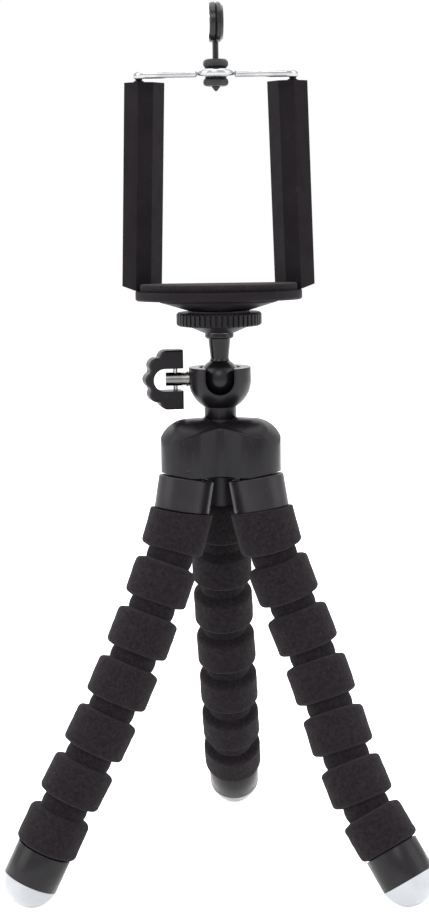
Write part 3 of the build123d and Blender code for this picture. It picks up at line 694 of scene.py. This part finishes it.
finishOfNode = {
    "hub_shell": "hub_plastic", "hub_base": "inner_plastic", "leg_hinge_pins": "steel", "hub_screw": "steel",
    "head_cup": "hub_plastic", "pressure_pad": "inner_plastic", "ball": "ball_plastic",
    "ball_stem": "ball_plastic", "tripod_screw": "steel", "locking_wheel": "wheel_plastic",
    "wheel_washer": "rubber", "clip_base": "clip_plastic", "clip_boss": "clip_plastic",
    "nut_insert": "nut_brass", "wing_left": "wing_plastic", "wing_right": "wing_plastic",
    "wing_bushings": "clip_plastic", "wire_bracket": "wire_chrome", "mirror_grommet": "rubber",
    "mirror_shell": "mirror_plastic", "mirror_glass": "mirror_face", "clamp_bolt": "bolt_nickel",
    "cross_pin": "steel", "flip_knob": "knob_plastic", "clip_pad": "pad_foam", "clip_springs": "steel",
}
finishOfLegPart = {
    "collar": "collar_plastic", "ferrule": "ferrule_plastic", "tip": "tip_plastic",
    "core_wire": "core_aluminium",
}


# What a node is called without the name of its leg
def plainName(name):
    return name.split("_", 1)[1] if name.startswith(legNames) else name


for name, node in nodes.items():
    finish = finishOfNode.get(name) or finishOfLegPart.get(plainName(name), "foam")
    node.data.materials.clear()
    node.data.materials.append(finishes[finish])
print("materials are on the CAD nodes")


# Moulded edges are never sharp: a small round along them catches the light

edgeRounds = {
    "hub_shell": 0.6, "collar": 0.22, "ferrule": 0.2, "head_cup": 0.18, "ball_stem": 0.15,
    "locking_wheel": 0.1, "clip_base": 0.2, "clip_boss": 0.25, "wing_left": 0.22, "wing_right": 0.22,
    "flip_knob": 0.18,
}
edgeMaking = {
    "weld": 0.0005,  # points closer than this become one
    "segments": 2,
    "sharpFrom": 24.0,  # degrees between two faces
}


def roundEdges(node, width):
    weld = node.modifiers.new("weld", "WELD")
    weld.merge_threshold = edgeMaking["weld"] * mm
    bevel = node.modifiers.new("edges", "BEVEL")
    bevel.width = width * mm
    bevel.segments = edgeMaking["segments"]
    bevel.limit_method = "ANGLE"
    bevel.angle_limit = math.radians(edgeMaking["sharpFrom"])
    bevel.harden_normals = True


for name, node in nodes.items():
    if plainName(name) in edgeRounds:
        roundEdges(node, edgeRounds[plainName(name)])
print("edges are rounded")


# Surfaces from grids of points

# Faces of a grid of rows and columns; the columns close into a ring, and the rows do too if asked
def gridFaces(rows, columns, closedRows=False, start=0):
    strips = rows if closedRows else rows - 1
    row, column = np.meshgrid(np.arange(strips), np.arange(columns), indexing="ij")
    nextRow = (row + 1) % rows
    nextColumn = (column + 1) % columns
    corners = [(row, column), (row, nextColumn), (nextRow, nextColumn), (nextRow, column)]
    faces = np.stack([r * columns + c for r, c in corners], axis=-1)
    return faces.reshape(-1, 4) + start


# Triangles from a row of points to one pole point
def poleFaces(rowStart, columns, pole, flip):
    column = np.arange(columns)
    first = rowStart + column
    second = rowStart + (column + 1) % columns
    middle = np.full(columns, pole)
    return np.stack([second, first, middle] if flip else [first, second, middle], axis=-1)


# Closes a grid of rows with a pole at each end; the points are counted from a start
def closedSkin(rows, poles, start=0):
    count, columns = rows.shape[:2]
    points = np.concatenate([rows.reshape(-1, 3), poles])
    lastRow = start + (count - 1) * columns
    pole = start + count * columns
    low = poleFaces(start, columns, pole, flip=True)
    high = poleFaces(lastRow, columns, pole + 1, flip=False)
    return points, gridFaces(count, columns, start=start), np.concatenate([low, high])


def meshPiece(name, points, quads, triangles, body, slotName, stoodFor=()):
    mesh = bpy.data.meshes.new(name)
    points = np.asarray(points, float).reshape(-1, 3) * mm
    corners = np.concatenate([quads.ravel(), triangles.ravel()]).astype(np.int32)
    sizes = np.concatenate([np.full(len(quads), 4), np.full(len(triangles), 3)]).astype(np.int32)
    starts = np.concatenate([[0], np.cumsum(sizes)[:-1]]).astype(np.int32)
    mesh.vertices.add(len(points))
    mesh.vertices.foreach_set("co", points.astype(np.float32).ravel())
    mesh.loops.add(len(corners))
    mesh.loops.foreach_set("vertex_index", corners)
    mesh.polygons.add(len(sizes))
    mesh.polygons.foreach_set("loop_start", starts)
    mesh.update(calc_edges=True)
    mesh.shade_smooth()
    mesh.materials.append(finishes[slotName])
    piece = bpy.data.objects.new(name, mesh)
    bpy.context.scene.collection.objects.link(piece)
    if stoodFor:
        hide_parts(*stoodFor)
    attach(piece, body)
    return piece


noTriangles = np.zeros((0, 3), int)


def inMillimetres(box):
    return [np.array(corner) / mm for corner in box]


# The centre of a node's surface: the middles of its triangles, weighted by area
def surfaceCentre(name):
    mesh = nodes[name].data
    mesh.calc_loop_triangles()
    corners = np.zeros(len(mesh.loop_triangles) * 3, np.int32)
    mesh.loop_triangles.foreach_get("vertices", corners)
    places = np.zeros(len(mesh.vertices) * 3, np.float32)
    mesh.vertices.foreach_get("co", places)
    triangles = places.reshape(-1, 3)[corners].reshape(-1, 3, 3).astype(float)
    first, second, third = triangles[:, 0], triangles[:, 1], triangles[:, 2]
    area = np.linalg.norm(np.cross(second - first, third - first), axis=1)
    return (triangles.mean(axis=1) * area[:, None]).sum(axis=0) / area.sum() / mm


def unit(direction):
    return direction / np.linalg.norm(direction)


# Angles around an upward axis, and the direction outwards at each: side cos a + back sin a
def circleAbout(up, columns):
    side = unit(np.cross((0.0, 1.0, 0.0), up))
    back = np.cross(up, side)
    angle = np.linspace(0, 2 * math.pi, columns, endpoint=False)
    return angle, np.cos(angle)[:, None] * side + np.sin(angle)[:, None] * back


# A path of straight runs with round corners: each arc touches the two runs that it joins
def roundedPath(points, radii, arcSteps=8):
    points = np.array(points, float)
    path = [points[0]]
    for before, at, after, radius in zip(points, points[1:], points[2:], radii):
        toBefore = unit(before - at)
        toAfter = unit(after - at)
        half = math.acos(np.clip(toBefore @ toAfter, -1, 1)) / 2
        reach = radius / math.tan(half)  # from the corner to where the arc starts
        middle = at + unit(toBefore + toAfter) * radius / math.sin(half)
        start = at + toBefore * reach - middle
        stop = at + toAfter * reach - middle
        share = np.linspace(0, 1, arcSteps)[:, None]
        chord = unit(start) * (1 - share) + unit(stop) * share
        path += list(middle + chord / np.linalg.norm(chord, axis=1)[:, None] * radius)
    path.append(points[-1])
    return np.array(path)


# The same path with points no further apart than a step
def filled(path, step):
    out = [path[:1]]
    for before, after in zip(path, path[1:]):
        count = max(1, math.ceil(np.linalg.norm(after - before) / step))
        out.append(before + (after - before) * np.arange(1, count + 1)[:, None] / count)
    return np.concatenate(out)


# Foam rings: each is turned about its own axis, with a ball above that sits in the next ring's socket

foamRing = {
    "diameter": 18.3,
    "height": 12.0,
    "slope": 0.8,  # how far the end faces fall towards the rim
    "corner": 1.4,
    "ball": 6.8,
    "socket": 7.05,
    "bore": 1.9,
    "flare": 26.0,  # degrees, where the bore opens through the ball
    "plug": 6.95,  # the last ring's plug in the ferrule
    "plugEnd": -13.9,  # from the ring's centre
    "plugCorner": 0.4,
    "step": 0.45,  # between points on the rim
    "boreStep": 1.2,
    "arcPoints": 18,  # on the ball and in the socket
    "columns": 96,
}
firstRing = {  # it is cut square to the collar and has a neck up into it
    "faceDrop": 14.8,  # from the hinge pin to the collar's lower face
    "centreDrop": 6.3,  # from that face to the ring's centre
    "sideShares": (0.2, 0.4, 0.6, 0.8, 0.93),  # rows up the side, as shares of the way to the cut
    "insets": (0.12, 0.45, 1.3),  # rows on the cut face, from its rim
    "softRim": 0.45,  # the rim of the cut is a little soft this far in
    "gap": 0.02,  # between the neck's foot and the collar's face
    "neck": 6.3,
    "neckRows": (0.0, 2.4, 4.9),
    "neckHeight": 7.3,
    "neckTaper": 0.3,
    "boreRows": (3.6, 0.0),
}
foamWaves = {
    "height": 0.06,
    "counts": (2, 3, 5, 7, 11),  # waves around the ring
    "lean": 0.7,  # radians at most, over the height below
    "leanHeight": 3.0,  # for one wave; less for more waves
    "innerRadius": 7.2,  # no waves inside this
    "fade": 1.2,  # and all of them this much further out
}
pitch = np.linalg.norm(jointPlace["left_bend_2"] - jointPlace["left_bend_1"])
hinge = pitch / 2  # from a ring's centre to the groove beside it


# Radius and height along the lower half: out of the bore, down the socket or plug, over the end face and
# up the side
def lowerProfile(isLast):
    f = foamRing
    half = f["height"] / 2
    outer = f["diameter"] / 2
    if isLast:
        plug = [
            (f["bore"], f["plugEnd"]),
            (f["plug"] - f["plugCorner"], f["plugEnd"]),
            (f["plug"], f["plugEnd"] + f["plugCorner"]),
            (f["plug"], -half),
        ]
        start = filled(np.array(plug), f["step"])
    else:
        low = math.asin(f["bore"] / f["socket"])
        high = math.acos((hinge - half) / f["socket"])
        turn = np.linspace(low, high, f["arcPoints"])
        start = np.stack([f["socket"] * np.sin(turn), f["socket"] * np.cos(turn) - hinge], axis=1)
    points = [start[-1], (outer, f["slope"] - half), (outer, 0.0)]
    rim = filled(roundedPath(points, [f["corner"]]), f["step"])
    return np.concatenate([start, rim[1:]])


# Radius and height along the upper half: up the side, over the end face, up the ball, down the flared bore
def upperProfile():
    f = foamRing
    half = f["height"] / 2
    outer = f["diameter"] / 2
    opening = math.tan(math.radians(f["flare"]))
    a = 1 + opening ** 2  # a, b and c of the quadratic for where the flared bore meets the ball
    b = 2 * f["bore"] * opening
    c = f["bore"] ** 2 - f["ball"] ** 2
    rise = (math.sqrt(b * b - 4 * a * c) - b) / (2 * a)
    low = math.asin((half - hinge) / f["ball"])
    turn = np.linspace(low, math.asin(rise / f["ball"]), f["arcPoints"])
    ball = np.stack([f["ball"] * np.cos(turn), f["ball"] * np.sin(turn) + hinge], axis=1)
    points = [(outer, 0.0), (outer, half - f["slope"]), ball[0]]
    rim = filled(roundedPath(points, [f["corner"]]), f["step"])
    bore = filled(np.array([ball[-1], (f["bore"], hinge), (f["bore"], 0.0)]), f["boreStep"])
    return np.concatenate([rim[1:], ball[1:], bore[1:]])


# Slow unevenness of cut foam: a sum of waves around the ring and along it, felt only on its outside
def unevenness(angle, height, radius, seed):
    w = foamWaves
    rng = np.random.default_rng(seed)
    total = np.zeros(np.broadcast(angle, height).shape)
    for waves in w["counts"]:
        phase = rng.uniform(0, 2 * math.pi)
        lean = rng.uniform(-w["lean"], w["lean"])
        leaned = lean * height * waves / w["leanHeight"]
        total = total + np.sin(waves * angle + leaned + phase) / math.sqrt(waves)
    outside = np.clip((radius - w["innerRadius"]) / w["fade"], 0, 1)
    return w["height"] * total * outside


# Turns a profile about an axis through a centre: centre + radius outwards + height up
def turnedRows(profile, centre, up, seed):
    angle, outward = circleAbout(up, foamRing["columns"])
    radius = profile[:, :1]
    height = profile[:, 1:]
    swollen = radius + unevenness(angle, height, radius, seed)
    return centre + swollen[..., None] * outward + height[..., None] * up


# The first ring's upper half: rows up its side to the plane of the cut, over the cut face, up the neck and
# down the bore
def firstUpperRows(centre, up, face, collarUp, seed):
    f = firstRing
    outer = foamRing["diameter"] / 2
    angle, outward = circleAbout(up, foamRing["columns"])
    rim = centre + outer * outward
    reach = ((face - rim) @ collarUp) / (up @ collarUp)  # up the side to the plane of the collar's face
    share = np.array(f["sideShares"])[:, None]
    height = share * reach
    swell = unevenness(angle, height, outer, seed)
    side = rim + height[..., None] * up
    rows = list(side + swell[..., None] * outward * (1 - share[..., None]))
    for inset in f["insets"]:
        drop = (f["softRim"] - min(inset, f["softRim"])) ** 2
        rows.append(rim + reach[:, None] * up - inset * outward - drop * up)
    neck = [(f["neck"], rise) for rise in f["neckRows"]]
    neck.append((f["neck"] - f["neckTaper"], f["neckHeight"]))
    bore = [(foamRing["bore"], rise) for rise in (f["neckHeight"], *f["boreRows"])]
    foot = face - f["gap"] * collarUp
    collarOutward = circleAbout(collarUp, foamRing["columns"])[1]
    for radius, rise in neck + bore:
        rows.append(foot + radius * collarOutward + rise * collarUp)
    return np.array(rows)


# The first ring rides on the leg's top and the last one on its foot
def bodyOfRing(leg, ring):
    ends = {1: f"{leg}_leg_top", ringCount: f"{leg}_foot"}
    return ends.get(ring, f"{leg}_ring_{ring}")


def makeFoamRing(leg, ring, centre, up, face, collarUp):
    seed = 100 * legNames.index(leg) + ring
    lower = turnedRows(lowerProfile(ring == ringCount), centre, up, seed)
    if ring == 1:
        upper = firstUpperRows(centre, up, face, collarUp, seed)
    else:
        upper = turnedRows(upperProfile(), centre, up, seed)
    rows = np.concatenate([lower, upper])
    faces = gridFaces(len(rows), foamRing["columns"], closedRows=True)
    body = bodyOfRing(leg, ring)
    stoodFor = [f"{leg}_foam_{ring}"]
    piece = meshPiece(f"{leg}_foam_ring_{ring}", rows, faces, noTriangles, body, "foam", stoodFor)


# Where a leg's rings stand: the hinge of the collar, the grooves and the ferrule give every axis
def legAxes(leg):
    pin = jointPlace[f"{leg}_leg_swing"]
    down = unit(surfaceCentre(f"{leg}_collar") - pin)
    face = pin + firstRing["faceDrop"] * down
    grooves = [jointPlace[f"{leg}_bend_{k}"] for k in range(1, ringCount)]
    axes = [(face + firstRing["centreDrop"] * unit(grooves[0] - face), unit(face - grooves[0]))]
    axes += [((a + b) / 2, unit(a - b)) for a, b in zip(grooves, grooves[1:])]
    footUp = unit(grooves[-1] - surfaceCentre(f"{leg}_ferrule"))
    axes.append((grooves[-1] - hinge * footUp, footUp))
    return axes, grooves, face, -down


# Core wires: a short span with round ends on each body, so that a leg bends without a gap

coreWire = {
    "radius": 1.6,
    "topAbove": 8.55,  # its top, above the collar's lower face
    "endBelow": -13.9,  # its end, from the last ring's centre
    "sides": 16,
    "capRows": 5,
    "capFrom": 0.15,  # radians, from an end's pole to the first row
}


# A capsule from one point to another: rows of circles, the ends half round, and their two poles
def capsuleRows(start, stop):
    radius = coreWire["radius"]
    up = unit(stop - start)
    length = np.linalg.norm(stop - start)
    turn = np.linspace(coreWire["capFrom"], math.pi / 2, coreWire["capRows"])
    low = np.stack([radius * np.sin(turn), -radius * np.cos(turn)], axis=1)
    high = low[::-1] * (1, -1) + (0, length)
    profile = np.concatenate([low, high])
    outward = circleAbout(up, coreWire["sides"])[1]
    rows = start + profile[:, :1, None] * outward + profile[:, 1:, None] * up
    poles = np.array([start - radius * up, stop + radius * up])
    return rows, poles


def makeCoreSpan(leg, number, start, stop, body, stoodFor):
    points, quads, triangles = closedSkin(*capsuleRows(start, stop))
    meshPiece(f"{leg}_core_{number}", points, quads, triangles, body, "core_aluminium", stoodFor)


for leg in legNames:
    axes, grooves, face, collarUp = legAxes(leg)
    for ring, (centre, up) in enumerate(axes, start=1):
        makeFoamRing(leg, ring, centre, up, face, collarUp)
    lastCentre, footUp = axes[-1]
    wireTop = face + coreWire["topAbove"] * collarUp
    wireEnd = lastCentre + (coreWire["endBelow"] + coreWire["radius"]) * footUp
    spanEnds = [wireTop, face, *grooves, wireEnd]
    owners = [bodyOfRing(leg, max(1, ring)) for ring in range(ringCount + 1)]
    for number, (start, stop, owner) in enumerate(zip(spanEnds, spanEnds[1:], owners), start=1):
        makeCoreSpan(leg, number, start, stop, owner, [f"{leg}_core_wire"] if number == 1 else ())
print("foam rings and core wires are made")


# Clip pad: bowed in front and straight behind, with a rounded edge and a slightly crowned top

clipPad = {
    "bow": 0.6,  # how much wider the front's half-ellipse is than the pad, on each side
    "middle": 1.0,  # where the half-ellipse has its centre, from the front to the back
    "frontPoints": 160,
    "backCorner": 0.6,
    "cornerPoints": 6,
    "backStep": 0.9,
    "foot": 0.12,  # how far the lower edge is drawn in, and how high that goes
    "edge": 0.55,
    "edgeRows": 6,
    "crown": 0.25,
    "crownPower": 4,  # how flat the crown is in the middle
    "crownShares": (0.93, 0.8, 0.6, 0.4, 0.2),  # rows on the top, as shares of the way out
    "underShares": (0.3, 0.7),
}


# Half-ellipse in front, cut off at the sides, and straight behind; a closed ring of points
def padOutline(low, high):
    width = high[0]
    rear = high[1]
    middle = clipPad["middle"]
    reach = width + clipPad["bow"]
    depth = -low[1] + middle
    side = math.acos(width / reach)
    turn = np.linspace(math.pi + side, 2 * math.pi - side, clipPad["frontPoints"])
    bow = np.stack([reach * np.cos(turn), middle + depth * np.sin(turn)], axis=1)
    bow[:, 0] = np.clip(bow[:, 0], -width, width)
    corners = [bow[-1], (width, rear), (-width, rear), bow[0]]
    back = roundedPath(corners, [clipPad["backCorner"]] * 2, clipPad["cornerPoints"])
    return np.concatenate([bow, filled(back, clipPad["backStep"])[1:-1]])


# The outline drawn in by a distance, at a height
def insetRow(outline, inset, height):
    ahead = np.roll(outline, -1, axis=0) - np.roll(outline, 1, axis=0)
    ahead = ahead / np.linalg.norm(ahead, axis=1)[:, None]
    inward = np.stack([-ahead[:, 1], ahead[:, 0]], axis=1)
    moved = outline + inward * inset
    return np.concatenate([moved, np.full((len(moved), 1), height)], axis=1)


# A row shrunk towards the middle, at its own height
def shrunkRow(row, middle, share):
    return middle + (row - middle) * [share, share, 1]


# Rows from the underside's middle out, up the wall, over the rounded edge and in over the crowned top
def makeClipPad():
    p = clipPad
    low, high = inMillimetres(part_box("clip_pad"))
    bottom = low[2]
    top = high[2]
    outline = padOutline(low, high)
    middle = np.array([0.0, (low[1] + high[1]) / 2, 0.0])
    wall = [insetRow(outline, p["foot"], bottom), insetRow(outline, 0.0, bottom + p["foot"])]
    wall.append(insetRow(outline, 0.0, (bottom + top) / 2))
    for turn in np.linspace(0, math.pi / 2, p["edgeRows"]):
        inset = p["edge"] * (1 - math.cos(turn))
        height = top - p["crown"] - p["edge"] * (1 - math.sin(turn))
        wall.append(insetRow(outline, inset, height))
    under = [shrunkRow(wall[0], middle, share) for share in p["underShares"]]
    crowned = [shrunkRow(wall[-1], middle, share) for share in p["crownShares"]]
    for row, share in zip(crowned, p["crownShares"]):
        row[:, 2] = top - p["crown"] * share ** p["crownPower"]
    poles = np.array([middle + [0, 0, bottom], middle + [0, 0, top]])
    points, quads, triangles = closedSkin(np.array(under + wall + crowned), poles)
    pad = meshPiece("clip_foam_pad", points, quads, triangles, "clip", "pad_foam", ["clip_pad"])


makeClipPad()
print("clip pad is made")


# Springs in the wings: a helix of wire in each

clipSpring = {
    "wire": 0.3,
    "turns": 56,
    "pointsPerTurn": 14,
    "sides": 6,
}


# The wire follows (R cos a, R sin a, z), where z rises evenly with a; circles across it make the tube
def makeClipSprings():
    low, high = inMillimetres(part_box("clip_springs"))
    outer = (high[1] - low[1]) / 2
    wire = clipSpring["wire"] / 2
    radius = outer - wire
    bottom = low[2] + wire
    top = high[2] - wire
    count = clipSpring["turns"] * clipSpring["pointsPerTurn"]
    angle = np.linspace(0, 2 * math.pi * clipSpring["turns"], count)
    height = np.linspace(bottom, top, count)
    outward = np.stack([np.cos(angle), np.sin(angle), 0 * angle], axis=1)
    rise = np.full(count, (top - bottom) / angle[-1])
    ahead = np.stack([-radius * np.sin(angle), radius * np.cos(angle), rise], axis=1)
    ahead = ahead / np.linalg.norm(ahead, axis=1)[:, None]
    across = np.cross(ahead, outward)
    turn = np.linspace(0, 2 * math.pi, clipSpring["sides"], endpoint=False)[:, None]
    circles = np.cos(turn) * outward[:, None] + np.sin(turn) * across[:, None]
    skins = []
    start = 0
    for side in (-1, 1):
        middle = np.array([side * (high[0] - outer), (low[1] + high[1]) / 2, 0])
        line = middle + radius * outward + height[:, None] * (0, 0, 1)
        skins.append(closedSkin(line[:, None] + wire * circles, line[[0, -1]], start))
        start += len(skins[-1][0])
    points, quads, triangles = (np.concatenate(share) for share in zip(*skins))
    springs = meshPiece("clip_coil_springs", points, quads, triangles, "clip", "steel", ["clip_springs"])
    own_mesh(springs)


makeClipSprings()
print("springs are made")


bpy.context.view_layer.update()
